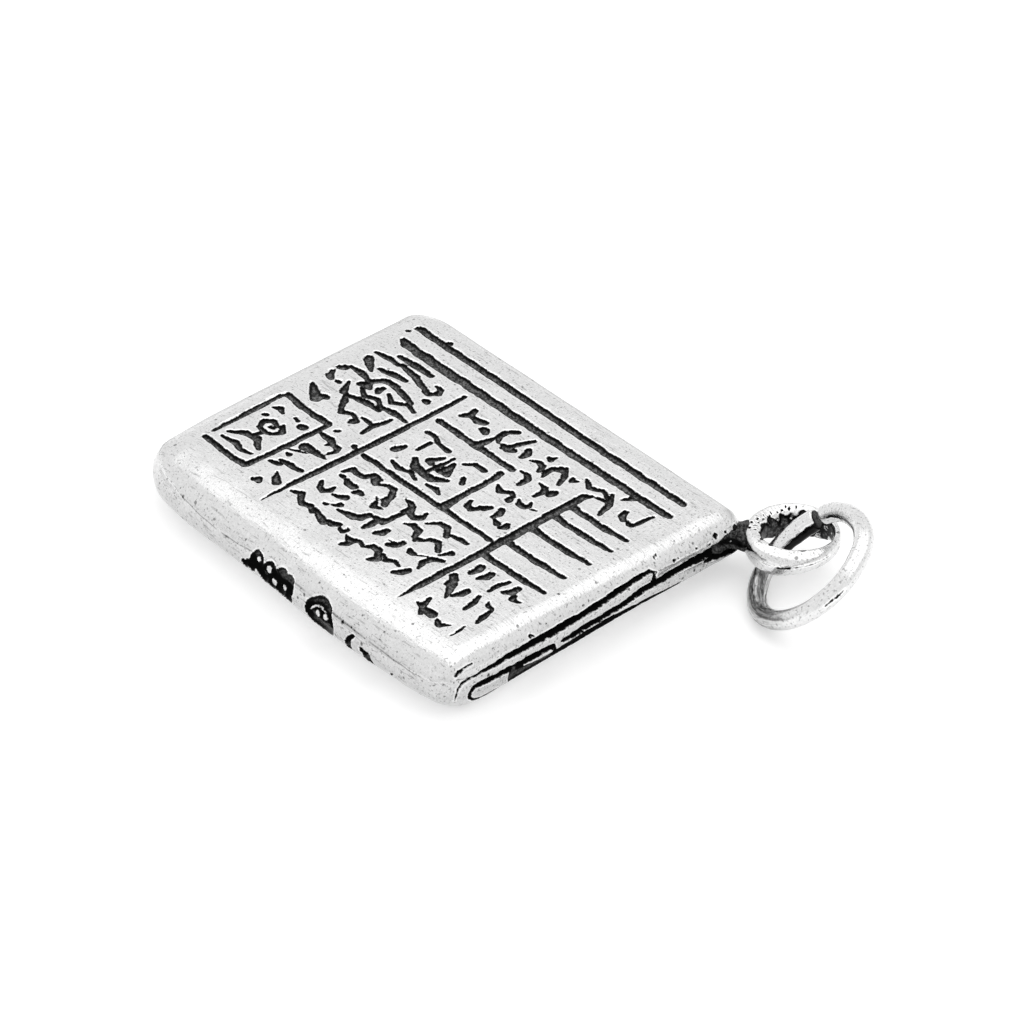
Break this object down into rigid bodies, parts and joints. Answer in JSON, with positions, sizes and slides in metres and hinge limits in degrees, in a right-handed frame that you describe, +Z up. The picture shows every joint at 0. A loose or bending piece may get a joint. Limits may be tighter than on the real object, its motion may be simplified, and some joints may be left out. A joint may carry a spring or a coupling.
{
  "type": "newspaper charm",
  "caption": "Silver charm shaped as a small folded newspaper with engraved rules and type marks, a soldered bail ring at one corner and an open jump ring.",
  "frame": {"origin": "middle of the underside of the whole charm's box, as it lies on its back", "axes": "+Z up from the surface, +X along the page's lines of print, +Y towards the head of the page"},
  "size_m": [0.0236, 0.0168, 0.0037],
  "materials": {
    "cast_silver": "tumbled sterling silver, brightly worn on the raised faces and blackened in the engraving",
    "silver_wire": "polished sterling silver wire with fine drawing lines"
  },
  "bodies": {
    "root": {"newspaper": "cast_silver", "jump_ring": "silver_wire"}
  },
  "joints": []
}
